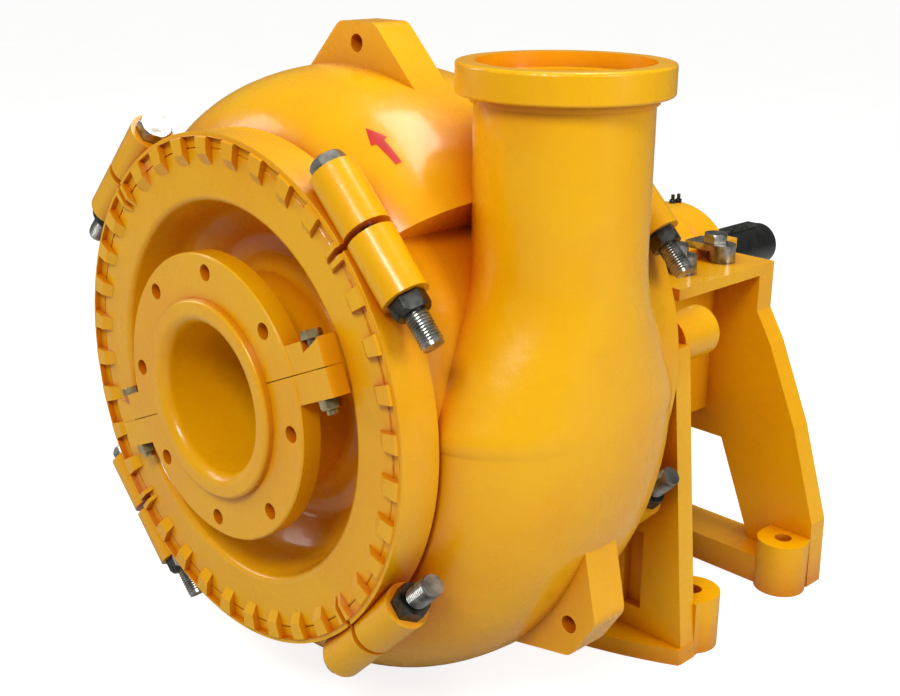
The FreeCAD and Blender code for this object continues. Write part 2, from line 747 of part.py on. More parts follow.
def make_impeller():
    """A closed impeller: two shrouds, curved vanes and a hub bored for the shaft."""
    front = value(IMPELLER_FRONT)
    back = value(IMPELLER_BACK)
    outer = dim("impeller_dia") / 2
    eye = dim("suction_bore") / 2
    shroud = dim("shroud_thick")
    hub = dim("hub_dia") / 2
    body = tube(outer, eye, front, front + shroud)
    plate = rod(outer, Vector(0, back - shroud, 0), Vector(0, back, 0))
    nose = Part.makeCone(hub * 0.45, hub, 46, Vector(0, back - shroud - 46, 0), Vector(0, 1, 0))
    boss = rod(dim("sleeve_dia") / 2, Vector(0, back - 1, 0), Vector(0, back + 24, 0))
    body = body.fuse([plate, nose, boss])
    inner = eye * 0.86
    count = int(dim("vane_count"))
    half = dim("vane_thick") / 2
    wrap = math.radians(78)
    for index in range(count):
        faces = [[], []]
        for step in range(7):
            radius = inner + (outer - 0.5 - inner) * step / 6
            angle = 2 * math.pi * index / count - wrap * (step / 6)
            slim = half * (0.65 + 0.35 * math.sin(math.pi * (0.2 + 0.6 * step / 6)))
            shift = slim / radius * 1.15
            for side in (0, 1):
                turn = angle + (shift if side else -shift)
                faces[side].append(Vector(radius * math.cos(turn), front + 2,
                                          radius * math.sin(turn)))
        edges = []
        for side in (0, 1):
            curve = Part.BSplineCurve()
            curve.interpolate(faces[side])
            edges.append(curve.toShape())
        edges.append(Part.LineSegment(faces[0][0], faces[1][0]).toShape())
        edges.append(Part.LineSegment(faces[0][-1], faces[1][-1]).toShape())
        wire = Part.Wire(Part.__sortEdges__(edges))
        vane = Part.Face(wire).extrude(Vector(0, back - front - 4, 0))
        body = body.fuse(vane)
    bore = rod(dim("shaft_wet_dia") / 2 + dim("shaft_fit"), Vector(0, back - 52, 0),
               Vector(0, back + 60, 0))
    return body.cut(bore)


shaped("impeller", make_impeller())

SHAFT_FRONT = "(chamber_front + chamber_width - 13 - impeller_gap - 50)"
SHAFT_SHOULDER = "(box_back + sleeve_out)"
DRIVE_STEP = "(housing_back + cover_thick - 6)"
BEARING_JOURNAL = "shaft_dia/2"
LEAD_IN = "(shaft_end - lead_in_length)"

shaft = turned("shaft", [
    (SHAFT_FRONT, "0"),
    (SHAFT_FRONT, "shaft_wet_dia/2"),
    (SHAFT_SHOULDER, "shaft_wet_dia/2"),
    (SHAFT_SHOULDER, BEARING_JOURNAL),
    (DRIVE_STEP, BEARING_JOURNAL),
    (DRIVE_STEP, "shaft_end_dia/2"),
    (LEAD_IN, "shaft_end_dia/2"),
    (LEAD_IN, "lead_in_dia/2"),
    ("shaft_end - 3", "lead_in_dia/2"),
    ("shaft_end", "lead_in_dia/2 - 3"),
    ("shaft_end", "0"),
])
KEY_BACK = "(shaft_end - key_inset)"
KEY_FRONT = "(shaft_end - key_inset - key_length)"
KEY_FLOOR = "(shaft_end_dia/2 - keyway_depth)"
keyway = outline(shaft, "keyway_outline", "XY_Plane", [
    ("-key_width/2", KEY_FRONT),
    ("key_width/2", KEY_FRONT),
    ("key_width/2", KEY_BACK),
    ("-key_width/2", KEY_BACK),
])
bind(keyway, "AttachmentOffset.Base.z", KEY_FLOOR)
slot = shaft.newObject("PartDesign::Pocket", "keyway")
slot.Profile = keyway
slot.Reversed = True
bind(slot, "Length", "keyway_depth + key_height")
doc.recompute()
seat(shaft, "shaft")

key = doc.addObject("PartDesign::Body", "shaft_key")
key_plan = outline(key, "key_plan", "XY_Plane", [
    ("shaft_fit - key_width/2", KEY_FRONT + " + shaft_fit"),
    ("key_width/2 - shaft_fit", KEY_FRONT + " + shaft_fit"),
    ("key_width/2 - shaft_fit", KEY_BACK + " - shaft_fit"),
    ("shaft_fit - key_width/2", KEY_BACK + " - shaft_fit"),
])
bind(key_plan, "AttachmentOffset.Base.z", KEY_FLOOR)
key_bar = key.newObject("PartDesign::Pad", "key_bar")
key_bar.Profile = key_plan
bind(key_bar, "Length", "keyway_depth + key_height")
doc.recompute()
seat(key, "shaft_key")

sleeve = turned("shaft_sleeve", [
    (IMPELLER_BACK + " + 24", "shaft_wet_dia/2 + shaft_fit"),
    (IMPELLER_BACK + " + 24", "sleeve_dia/2"),
    (SHAFT_SHOULDER, "sleeve_dia/2"),
    (SHAFT_SHOULDER, "shaft_wet_dia/2 + shaft_fit"),
])
seat(sleeve, "shaft_sleeve")

# ---------------------------------------------------------------- stuffing box and gland

BOX_FRONT = "(chamber_front + chamber_width + 2)"
NOSE_FRONT = "(box_back - gland_nose)"
PACK_FRONT = "(box_back - gland_nose - packing_count*packing_length)"
LANTERN_FRONT = "(box_back - gland_nose - packing_count*packing_length - lantern_length)"
GLAND_FRONT = "(box_back + gland_gap)"
GLAND_BACK = "(box_back + gland_gap + gland_flange)"
STUD_FRONT = "(box_back - stud_depth)"
STUD_BACK = "(box_back + gland_gap + gland_flange + stud_nut_height + gland_travel + 3)"

stuffing_box = turned("stuffing_box", [
    (BOX_FRONT, "sleeve_dia/2 + 2"),
    (BOX_FRONT, "box_dia/2"),
    (FRAME_FACE, "box_dia/2"),
    (FRAME_FACE, "box_dia/2 - 24"),
    ("box_back - 26", "box_dia/2 - 24"),
    ("box_back - 22", "gland_stud_pcd/2 + 22"),
    ("box_back", "gland_stud_pcd/2 + 22"),
    ("box_back", "box_bore/2"),
    (LANTERN_FRONT, "box_bore/2"),
    (LANTERN_FRONT, "sleeve_dia/2 + 2"),
])
drilled(stuffing_box, "stud_holes", STUD_FRONT, "stud_depth + 1",
        "gland_stud_pcd/2", "stud_dia/2 + shaft_fit", 4)
seat(stuffing_box, "stuffing_box")

seat(turned("lantern_ring", [
    (LANTERN_FRONT, "sleeve_dia/2 + running_gap"),
    (LANTERN_FRONT, "box_bore/2 - seat_fit"),
    (LANTERN_FRONT + " + 7", "box_bore/2 - seat_fit"),
    (LANTERN_FRONT + " + 7", "box_bore/2 - 4"),
    (PACK_FRONT + " - 7", "box_bore/2 - 4"),
    (PACK_FRONT + " - 7", "box_bore/2 - seat_fit"),
    (PACK_FRONT, "box_bore/2 - seat_fit"),
    (PACK_FRONT, "sleeve_dia/2 + running_gap"),
]), "lantern_ring")

packing_ring = turned("packing_ring", [
    (PACK_FRONT, "sleeve_dia/2 + running_gap"),
    (PACK_FRONT, "box_bore/2 - seat_fit"),
    (PACK_FRONT + " + packing_length", "box_bore/2 - seat_fit"),
    (PACK_FRONT + " + packing_length", "sleeve_dia/2 + running_gap"),
])
packing = doc.addObject("Part::Feature", "packing_rings")
packing_stack = []
for index in range(int(dim("packing_count"))):
    ring = packing_ring.Shape.copy()
    ring.translate(Vector(0, index * dim("packing_length"), 0))
    packing_stack.append(ring)
packing.Shape = Part.makeCompound(packing_stack)
seat(packing, "packing_rings")


def make_gland_half(side):
    front = value(GLAND_FRONT)
    back = value(GLAND_BACK)
    nose = value(NOSE_FRONT)
    inner = dim("sleeve_dia") / 2 + 1.5
    pcd = dim("gland_stud_pcd") / 2
    body = tube(pcd + 20, inner, front, back)
    body = body.fuse(tube(dim("box_bore") / 2 - dim("running_gap"), inner, nose, front + 1))
    far = pcd + 60
    keep = dim("split_gap") / 2
    window = [(-far, side * keep), (far, side * keep), (far, side * far), (-far, side * far)]
    body = body.common(slab(window, nose - 1, back + 1))
    for angle in (45, 135):
        at = direction(angle * side) * pcd
        body = body.cut(rod(dim("stud_dia") / 2 + 1.5, at + Vector(0, front - 5, 0),
                            at + Vector(0, back + 5, 0)))
    return body


shaped("gland_upper", make_gland_half(1))
shaped("gland_lower", make_gland_half(-1))

studs = []
stud_nuts = []
for angle in (45, 135, 225, 315):
    at = direction(angle) * (dim("gland_stud_pcd") / 2)
    radius = dim("stud_dia") / 2
    near = at + Vector(0, value(STUD_FRONT), 0)
    far = at + Vector(0, value(STUD_BACK), 0)
    studs.append(rod(radius, near, far))
    nut = hexagon(radius * 3, dim("stud_nut_height"), at + Vector(0, value(GLAND_BACK), 0),
                  Vector(0, 1, 0))
    stud_nuts.append(nut.cut(rod(radius + dim("running_gap"), near, far)))
shaped("gland_studs", Part.makeCompound(studs))
shaped("gland_nuts", Part.makeCompound(stud_nuts))

# ---------------------------------------------------------------- bearing cartridge

HOUSING_BORE = "(bearing_dia/2 + shaft_fit)"
FRONT_BEARING = "(housing_front + 34)"
REAR_BEARING = "(housing_back - 16 - bearing_length)"
RACE_IN = "(bearing_dia/2 - 13)"
RACE_OUT = "(bearing_dia/2 - 13 - roller_dia - 2*running_gap)"


def make_housing():
    """The barrel with three seating bands, two side ears and an adjusting lug below."""
    radius = dim("housing_dia") / 2
    rise = dim("band_rise")
    front = dim("housing_front")
    back = dim("housing_back")
    slim = radius - rise
    stations = [(front, front + 40), (front + 100, front + 150), (back - 46, back)]
    corners = [Vector(0, front, radius)]
    for index, (start, end) in enumerate(stations):
        corners.append(Vector(0, end, radius))
        if index < 2:
            corners.append(Vector(0, end + rise, slim))
            corners.append(Vector(0, stations[index + 1][0] - rise, slim))
            corners.append(Vector(0, stations[index + 1][0], radius))
    bore = value(HOUSING_BORE)
    corners += [Vector(0, back, bore), Vector(0, front, bore)]
    barrel = Part.Face(Part.makePolygon(corners + corners[:1]))
    barrel = barrel.revolve(Vector(0, 0, 0), Vector(0, 1, 0), 360)
    top = dim("cradle_top") + dim("running_gap")
    ear = block(70, dim("clamp_stud_x") - 20, front + 18, back - 18, top,
                top + dim("ear_thick"))
    lug_y = (front + back) / 2
    thick = dim("adjust_lug_half")
    drop = dim("adjust_lug_drop")
    lug = block(-drop / 2, drop / 2, lug_y - thick, lug_y + thick, -radius - drop, -radius + 20)
    core = rod(bore, Vector(0, front - 1, 0), Vector(0, back + 1, 0))
    barrel = barrel.fuse([ear.cut(core), mirrored(ear.cut(core)), lug.cut(core)])
    screw_z = -radius - drop / 2
    return barrel.cut(rod(dim("adjust_screw_dia") / 2 + dim("shaft_fit"),
                          Vector(0, lug_y - 30, screw_z), Vector(0, lug_y + 30, screw_z)))


shaped("bearing_housing", make_housing())

for label, inner_face, outer_face, spigot in (
        ("bearing_cover_wet", "housing_front", "(housing_front - cover_thick)",
         "(housing_front + 34)"),
        ("bearing_cover_drive", "housing_back", "(housing_back + cover_thick)",
         "(housing_back - 16)")):
    cover = turned(label, [
        (outer_face, "shaft_dia/2 + running_gap"),
        (outer_face, "cover_dia/2"),
        (inner_face, "cover_dia/2"),
        (inner_face, "bearing_dia/2 - seat_fit"),
        (spigot, "bearing_dia/2 - seat_fit"),
        (spigot, RACE_IN),
        (inner_face, RACE_IN),
        (inner_face, "shaft_dia/2 + running_gap"),
    ])
    rounded(cover, [(outer_face, "cover_dia/2")], "4")
    seat(cover, label)

for place, start in (("wet", FRONT_BEARING), ("drive", REAR_BEARING)):
    end = "(" + start + " + bearing_length)"
    seat(turned("outer_race_" + place, [
        (start, RACE_IN),
        (start, "bearing_dia/2"),
        (end, "bearing_dia/2"),
        (end, RACE_IN),
    ]), "outer_race_" + place)
    seat(turned("inner_race_" + place, [
        (start, "shaft_dia/2 + shaft_fit"),
        (start, RACE_OUT),
        (end, RACE_OUT),
        (end, "shaft_dia/2 + shaft_fit"),
    ]), "inner_race_" + place)
    pitch_radius = value(RACE_IN) - dim("roller_dia") / 2 - dim("running_gap")
    cage_start = value(start) + 2
    cage_end = value(end) - 2
    cage = tube(pitch_radius + 5, pitch_radius - 5, cage_start, cage_start + 5)
    cage = cage.fuse(tube(pitch_radius + 5, pitch_radius - 5, cage_end - 5, cage_end))
    for index in range(int(dim("roller_count"))):
        at = direction(360 * index / dim("roller_count")) * pitch_radius
        cage = cage.fuse(rod(dim("roller_dia") / 2, at + Vector(0, cage_start + 4, 0),
                             at + Vector(0, cage_end - 4, 0)))
    shaped("roller_cage_" + place, cage)

locknut = turned("bearing_locknut", [
    (REAR_BEARING + " + bearing_length", "shaft_dia/2 + shaft_fit"),
    (REAR_BEARING + " + bearing_length", "shaft_dia/2 + 13"),
    ("housing_back - 2", "shaft_dia/2 + 13"),
    ("housing_back - 2", "shaft_dia/2 + shaft_fit"),
])
seat(locknut, "bearing_locknut")

screws = []
for index in range(6):
    at = direction(30 + 60 * index) * (dim("cover_dia") / 2 - 14)
    for face, way in (("(housing_back + cover_thick)", 1), ("(housing_front - cover_thick)", -1)):
        screws.append(hexagon(17, 7, at + Vector(0, value(face), 0), Vector(0, way, 0)))
shaped("cover_screws", Part.makeCompound(screws))

fittings = []
for y_text, radius_text in (("housing_back - 8", "housing_dia/2"),
                            ("housing_back + cover_thick/2", "cover_dia/2")):
    base = Vector(0, value(y_text), value(radius_text) + dim("seat_fit"))
    up = Vector(0, 0, 1)
    fittings.append(hexagon(11, 6, base, up).fuse(rod(3.2, base, base + up * 15)))
shaped("grease_fittings", Part.makeCompound(fittings))

housing_middle = (dim("housing_front") + dim("housing_back")) / 2
screw_z = -(dim("housing_dia") + dim("adjust_lug_drop")) / 2
screw_radius = dim("adjust_screw_dia") / 2
screw_end = Vector(0, housing_middle + dim("adjust_lug_half") + dim("adjust_nut_height") + 2, screw_z)
screw_start = screw_end - Vector(0, dim("adjust_screw_length"), 0)
shaped("adjusting_screw", rod(screw_radius, screw_start, screw_end))
adjusting_nuts = []
for way in (-1, 1):
    face = Vector(0, housing_middle + dim("adjust_lug_half") * way, screw_z)
    nut = hexagon(screw_radius * 3, dim("adjust_nut_height"), face, Vector(0, way, 0))
    adjusting_nuts.append(nut.cut(rod(screw_radius + dim("shaft_fit"), screw_start, screw_end)))
shaped("adjusting_nuts", Part.makeCompound(adjusting_nuts))

# ---------------------------------------------------------------- base frame

def clamp_stations():
    """Where along the shaft the two pairs of holding bolts stand."""
    first = dim("housing_front") + dim("clamp_stud_first")
    return first, first + dim("clamp_stud_pitch")


def make_frame():
    """The cast base: two leg portals, a bearing cradle between them and four feet."""
    ground = -dim("shaft_height")
    thick = dim("portal_thick")
    front = value(FRAME_FACE)
    rear = dim("portal_back")
    half = dim("foot_half")
    pad_top = ground + dim("base_pad")
    boss_top = ground + dim("foot_boss_height")
    top = dim("cradle_top")
    plate = dim("cradle_plate")
    wing = dim("cradle_half")

    # front portal: a round face for the frame plate on two splayed legs
    disc = rod(dim("face_dia") / 2, Vector(0, front, 0), Vector(0, front + thick, 0))
    legs = slab([(-half + 46, 22), (half - 46, 22), (half, ground), (-half, ground)],
                front + dim("face_raise"), front + thick)
    arch_top = ground + 150
    gap = slab([(-half + 130, ground - 1), (half - 130, ground - 1), (half - 170, arch_top - 40),
                (half - 230, arch_top), (-half + 230, arch_top), (-half + 170, arch_top - 40)],
               front - 1, front + thick + 1)
    portal = disc.fuse(legs).cut(gap)
    for side in (-1, 1):
        pocket = block(min(side * 262, side * 296), max(side * 262, side * 296),
                       front - 1, front + 22, ground + 62, ground + 190)
        portal = portal.cut(pocket)

    # rear portal: splayed legs under the drive end of the cradle
    outline_half = [(wing, top), (wing, -12), (wing + 30, -62), (wing + 88, -194),
                    (half - 2, -352), (half, ground)]
    rear_plan = outline_half + [(-x, z) for x, z in reversed(outline_half)]
    rear_portal = slab(rear_plan, rear - thick, rear)
    rear_gap = slab([(-half + 120, pad_top + 20), (half - 120, pad_top + 20),
                     (half - 190, -250), (-half + 190, -250)], rear - thick - 1, rear + 1)
    rear_portal = rear_portal.cut(rear_gap)

    # cradle: top plates, side walls, floor and two saddles
    cradle_front = dim("cradle_front")
    seat_radius = dim("housing_dia") / 2 + dim("running_gap")
    wall_out = dim("cradle_out")
    wall_in = wall_out - dim("cradle_wall")
    floor = -dim("cradle_depth")
    solids = [portal, rear_portal]
    solids.append(block(-wing, wing, cradle_front, rear, top - plate, top))
    for side in (-1, 1):
        solids.append(block(min(side * wall_in, side * wall_out),
                            max(side * wall_in, side * wall_out),
                            front + thick - 1, rear - 1, floor, 34))
        solids.append(block(min(side * wall_in, side * wall_out),
                            max(side * wall_in, side * wall_out),
                            cradle_front, rear - 1, 30, top - 1))
    solids.append(block(-wall_out, wall_out, front + thick - 1, rear - 1, floor - plate, floor))
    saddle = dim("saddle_length")
    for start, end in ((dim("housing_front") - 2, dim("housing_front") - 2 + saddle),
                       (rear - saddle - 4, rear)):
        solids.append(block(-wall_out, wall_out, start, end, floor, top))
    lug_y = (dim("housing_front") + dim("housing_back")) / 2 - 62
    solids.append(block(-30, 30, lug_y - 13, lug_y + 13, floor - 1, -dim("housing_dia") / 2 - 6))

    # round shoulders beside the stuffing box
    for side in (-1, 1):
        x = side * dim("shoulder_x")
        shoulder = rod(dim("shoulder_dia") / 2, Vector(x, front + thick - 1, 18),
                       Vector(x, front + thick + dim("shoulder_length"), 18))
        end_edges = [edge for edge in shoulder.Edges
                     if isinstance(edge.Curve, Part.Circle)
                     and edge.Curve.Center.y > front + thick + 50]
        solids.append(shoulder.makeChamfer(15, end_edges))
        solids.append(block(min(side * 150, x), max(side * 150, x), front + thick - 1,
                            front + thick + dim("shoulder_length") - 18, -8, 40))

    # feet: bolt bosses against the inner faces of the legs, and the tie pads
    boss = dim("foot_boss_dia") / 2
    for y in (dim("overhang") - dim("base_bolt_y") / 2, dim("overhang") + dim("base_bolt_y") / 2):
        inward = 1 if y < dim("overhang") else -1
        leg_face = front + thick if inward > 0 else rear - thick
        for side in (-1, 1):
            x = side * dim("base_bolt_x") / 2
            solids.append(rod(boss, Vector(x, y, ground), Vector(x, y, boss_top)))
            solids.append(block(min(x - side * boss, side * (half - 2)),
                                max(x - side * boss, side * (half - 2)),
                                min(y, leg_face - inward), max(y, leg_face - inward),
                                ground, boss_top))
            for place in clamp_stations():
                at = Vector(side * dim("clamp_stud_x"), place, top - plate - 24)
                solids.append(rod(25, at, at + Vector(0, 0, 30)))
    bulge = Part.Arc(Vector(half - 1, front + 1, ground), Vector(0, front - 96, ground),
                     Vector(-half + 1, front + 1, ground)).toShape()
    close = Part.makePolygon([Vector(-half + 1, front + 1, ground),
                              Vector(-half + 1, front + thick - 1, ground),
                              Vector(half - 1, front + thick - 1, ground),
                              Vector(half - 1, front + 1, ground)])
    pad = Part.Face(Part.Wire([bulge] + close.Edges)).extrude(Vector(0, 0, dim("base_pad")))
    solids.append(pad)
    solids.append(block(-half + 40, half - 40, rear - thick - 50, rear, ground, pad_top + 22))

    frame = solids[0].fuse(solids[1:])
    frame = frame.removeSplitter()
    cuts = [rod(seat_radius, Vector(0, front + thick - 2, 0), Vector(0, rear + 1, 0)),
            rod(dim("box_dia") / 2 + 6, Vector(0, front - 1, 0),
                Vector(0, front + thick + 1, 0)),
            block(-wall_in + 4, wall_in - 4, cradle_front - 1, rear + 1, 0, top + 1),
            rod(screw_radius, Vector(0, lug_y - 40, screw_z), Vector(0, lug_y + 40, screw_z))]
    for y in (dim("overhang") - dim("base_bolt_y") / 2, dim("overhang") + dim("base_bolt_y") / 2):
        for side in (-1, 1):
            x = side * dim("base_bolt_x") / 2
            cuts.append(rod(dim("base_hole") / 2, Vector(x, y, ground - 1),
                            Vector(x, y, boss_top + 1)))
    for side in (-1, 1):
        for place in clamp_stations():
            at = Vector(side * dim("clamp_stud_x"), place, top - plate - 30)
            cuts.append(rod(dim("clamp_stud_dia") / 2 + dim("seat_fit"), at,
                            at + Vector(0, 0, 60)))
    return frame.cut(cuts)


shaped("base_frame", make_frame())

washers = []
holding_bolts = []
for side in (-1, 1):
    for place in clamp_stations():
        x = side * dim("clamp_stud_x")
        top = dim("cradle_top")
        ear_top = top + dim("ear_thick") + 2 * dim("running_gap")
        foot = Vector(x + side * 14, place, top)
        washer = rod(22, foot, foot + Vector(0, 0, ear_top + 11 - top))
        arm = block(min(x - side * 44, x + side * 16), max(x - side * 44, x + side * 16),
                    place - 22, place + 22, ear_top, ear_top + 11)
        hole = rod(dim("clamp_stud_dia") / 2 + dim("seat_fit"), Vector(x, place, top - 10),
                   Vector(x, place, top + 90))
        washers.append(washer.fuse(arm).cut(hole))
        size = dim("clamp_stud_dia")
        base = Vector(x, place, ear_top + 11)
        shank = rod(size / 2, base - Vector(0, 0, 75), base)
        holding_bolts.append(shank.fuse(hexagon(size * 1.5, size * 0.65, base,
                                                Vector(0, 0, 1))))
shaped("clamp_washers", Part.makeCompound(washers))
shaped("clamp_washer_bolts", Part.makeCompound(holding_bolts))

# ---------------------------------------------------------------- check and write

doc.recompute()
for feature in doc.Objects:
    if "Invalid" in feature.State or "Error" in feature.State:
        raise RuntimeError("failed: " + feature.Label)
os.makedirs("parts", exist_ok=True)
for piece in pieces:
    if piece.Shape.isNull() or not piece.Shape.isValid():
        raise RuntimeError("bad shape: " + piece.Label)
    piece.Shape.exportStep("parts/" + piece.Label + ".step")
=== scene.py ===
import json
import math

import bpy
import bmesh
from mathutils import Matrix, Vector
from mathutils.bvhtree import BVHTree


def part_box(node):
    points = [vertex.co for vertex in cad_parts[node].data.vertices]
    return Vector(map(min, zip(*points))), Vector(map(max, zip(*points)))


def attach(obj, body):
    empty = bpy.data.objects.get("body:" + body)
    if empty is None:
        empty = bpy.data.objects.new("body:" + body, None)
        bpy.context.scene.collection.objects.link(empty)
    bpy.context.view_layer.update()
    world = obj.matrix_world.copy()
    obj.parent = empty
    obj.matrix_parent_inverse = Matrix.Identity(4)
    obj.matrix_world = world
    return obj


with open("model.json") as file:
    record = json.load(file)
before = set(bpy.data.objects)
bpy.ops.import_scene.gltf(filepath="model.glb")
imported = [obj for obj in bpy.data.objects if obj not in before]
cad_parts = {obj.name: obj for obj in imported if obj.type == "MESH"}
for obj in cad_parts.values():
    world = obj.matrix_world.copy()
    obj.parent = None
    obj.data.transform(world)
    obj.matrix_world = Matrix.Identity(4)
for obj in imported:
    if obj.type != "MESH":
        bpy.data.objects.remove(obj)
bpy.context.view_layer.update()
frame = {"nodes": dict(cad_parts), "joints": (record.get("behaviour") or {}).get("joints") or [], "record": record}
NODES = frame["nodes"]
RECORD = frame["record"]
JOINTS = {joint["name"]: joint for joint in frame["joints"]}

# Places that the rest is worked out from, in metres, in the part's frame.
AXIS_HEIGHT = JOINTS["rotor_spin"]["pos_m"][2]
CLAMP_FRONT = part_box("front_door")[0].y


# ---------------------------------------------------------------- node helpers

def new_material(name):
    material = bpy.data.materials.new(name)
    material.use_nodes = True
    tree = material.node_tree
    tree.nodes.clear()
    shader = tree.nodes.new("ShaderNodeBsdfPrincipled")
    output = tree.nodes.new("ShaderNodeOutputMaterial")
    tree.links.new(shader.outputs["BSDF"], output.inputs["Surface"])
    return material, tree, shader


def object_coords(tree):
    return tree.nodes.new("ShaderNodeTexCoord").outputs["Object"]


def noise(tree, coords, scale, detail=4.0, roughness=0.55, distortion=0.0):
    node = tree.nodes.new("ShaderNodeTexNoise")
    node.inputs["Scale"].default_value = scale
    node.inputs["Detail"].default_value = detail
    node.inputs["Roughness"].default_value = roughness
    node.inputs["Distortion"].default_value = distortion
    tree.links.new(coords, node.inputs["Vector"])
    return node.outputs["Fac"]


def ramp(tree, source, stops):
    """A colour ramp over a 0..1 value, from (position, colour) stops."""
    node = tree.nodes.new("ShaderNodeValToRGB")
    elements = node.color_ramp.elements
    while len(elements) < len(stops):
        elements.new(0.5)
    for element, (position, colour) in zip(elements, stops):
        element.position = position
        element.color = (*colour, 1.0)
    tree.links.new(source, node.inputs["Fac"])
    return node.outputs["Color"]


def spread(tree, source, low, high, from_low=0.0, from_high=1.0):
    """The value mapped to a new range and clamped."""
    node = tree.nodes.new("ShaderNodeMapRange")
    node.inputs["From Min"].default_value = from_low
    node.inputs["From Max"].default_value = from_high
    node.inputs["To Min"].default_value = low
    node.inputs["To Max"].default_value = high
    tree.links.new(source, node.inputs["Value"])
    return node.outputs["Result"]


def math_node(tree, operation, first, second):
    node = tree.nodes.new("ShaderNodeMath")
    node.operation = operation
    for socket, value in zip(node.inputs, (first, second)):
        if isinstance(value, (int, float)):
            socket.default_value = value
        else:
            tree.links.new(value, socket)
    return node.outputs["Value"]


def mix_colour(tree, factor, first, second, blend="MIX"):
    node = tree.nodes.new("ShaderNodeMix")
    node.data_type = "RGBA"
    node.blend_type = blend
    sockets = [s for s in node.inputs if s.type == "RGBA"]
    for socket, value in zip(sockets, (first, second)):
        if isinstance(value, tuple):
            socket.default_value = (*value, 1.0)
        else:
            tree.links.new(value, socket)
    if isinstance(factor, (int, float)):
        node.inputs["Factor"].default_value = factor
    else:
        tree.links.new(factor, node.inputs["Factor"])
    return [s for s in node.outputs if s.type == "RGBA"][0]


def bump(tree, shader, heights):
    """Stack bumps, given as (height source, strength, distance), onto the shader's normal."""
    normal = None
    for source, strength, distance in heights:
        node = tree.nodes.new("ShaderNodeBump")
        node.inputs["Strength"].default_value = strength
        node.inputs["Distance"].default_value = distance
        tree.links.new(source, node.inputs["Height"])
        if normal is not None:
            tree.links.new(normal, node.inputs["Normal"])
        normal = node.outputs["Normal"]
    tree.links.new(normal, shader.inputs["Normal"])


def cavities(tree, distance):
    """1 in the open, falling to 0 in corners and recesses: the mask for painted shade."""
    node = tree.nodes.new("ShaderNodeAmbientOcclusion")
    node.samples = 8
    node.inputs["Distance"].default_value = distance
    return node.outputs["AO"]


# ---------------------------------------------------------------- materials

# The first two colours are a lit and a shaded copy of the enamel yellow.
ENAMEL_LIT = (0.93, 0.47, 0.001)
ENAMEL_SHADED = (0.88, 0.34, 0.001)
# Painted shade: the enamel's colour in corners and recesses.
ENAMEL_RECESS_SHADE = (0.60, 0.12, 0.001)


def yellow_enamel(name, cast):
    """Glossy enamel brushed over an iron casting: cast is how rough the casting below is."""
    material, tree, shader = new_material(name)
    coords = object_coords(tree)
    clouds = noise(tree, coords, 5.0, 3.0)
    # The enamel clouds at random between its shaded and its lit copy, leaning to the lit one.
    colour = ramp(tree, clouds, [(0.35, ENAMEL_SHADED), (0.60, ENAMEL_LIT)])
    colour = mix_colour(tree, 0.55, colour, ENAMEL_LIT)
    # Painted shade: the enamel darkens to the shade colour in corners and recesses, by ambient occlusion.
    outside_painted_shade = spread(tree, cavities(tree, 0.09), 0.0, 1.0, 0.20, 0.92)
    colour = mix_colour(tree, outside_painted_shade, ENAMEL_RECESS_SHADE, colour)
    tree.links.new(colour, shader.inputs["Base Color"])
    sheen = noise(tree, coords, 26.0, 4.0)
    tree.links.new(spread(tree, sheen, 0.20, 0.36), shader.inputs["Roughness"])
    shader.inputs["Coat Weight"].default_value = 0.25
    shader.inputs["Coat Roughness"].default_value = 0.10
    shader.inputs["IOR"].default_value = 1.42
    waves = noise(tree, coords, 14.0, 2.0)
    peel = noise(tree, coords, 110.0, 3.0)
    grains = noise(tree, coords, 420.0, 2.0)
    bump(tree, shader, [(waves, 0.30 * cast, 0.006), (peel, 0.22 * cast, 0.0015),
                        (grains, 0.16, 0.0004)])
    return material


def metal(name, dark, light, roughness, streak_scale, spots=None, bump_strength=0.2):
    """A bare or plated metal with mottled tone, uneven polish, fine scratches and painted shade in its recesses.
    """
    material, tree, shader = new_material(name)
    coords = object_coords(tree)
    mottle = noise(tree, coords, 60.0, 5.0)
    colour = ramp(tree, mottle, [(0.35, dark), (0.65, light)])
    if spots:
        patches = spread(tree, noise(tree, coords, 35.0, 6.0, 0.7), 0.0, 1.0, 0.52, 0.66)
        colour = mix_colour(tree, patches, colour, spots)
    # Painted shade: the metal darkens to a quarter of its dark tone in corners and recesses, by ambient occlusion.
    cavity_shade = spread(tree, cavities(tree, 0.012), 0.0, 1.0, 0.3, 0.8)
    colour = mix_colour(tree, cavity_shade, tuple(0.25 * c for c in dark), colour)
    tree.links.new(colour, shader.inputs["Base Color"])
    shader.inputs["Metallic"].default_value = 1.0
    polish = noise(tree, coords, streak_scale, 5.0)
    tree.links.new(spread(tree, polish, roughness - 0.08, roughness + 0.14),
                   shader.inputs["Roughness"])
    scratches = noise(tree, coords, 600.0, 2.0)
    bump(tree, shader, [(polish, bump_strength, 0.0008), (scratches, bump_strength, 0.0002)])
    return material


def oiled_black():
    """The drive shaft under a coat of black preservative: glossy, with runs and thin spots."""
    material, tree, shader = new_material("oiled_black")
    coords = object_coords(tree)
    runs = noise(tree, coords, 22.0, 5.0, 0.6, 0.6)
    colour = ramp(tree, runs, [(0.30, (0.004, 0.005, 0.005)), (0.72, (0.030, 0.034, 0.030))])
    tree.links.new(colour, shader.inputs["Base Color"])
    tree.links.new(spread(tree, noise(tree, coords, 70.0, 4.0), 0.16, 0.42),
                   shader.inputs["Roughness"])
    shader.inputs["Metallic"].default_value = 0.35
    shader.inputs["Coat Weight"].default_value = 0.5
    shader.inputs["Coat Roughness"].default_value = 0.15
    bump(tree, shader, [(runs, 0.5, 0.0015), (noise(tree, coords, 260.0, 3.0), 0.25, 0.0004)])
    return material


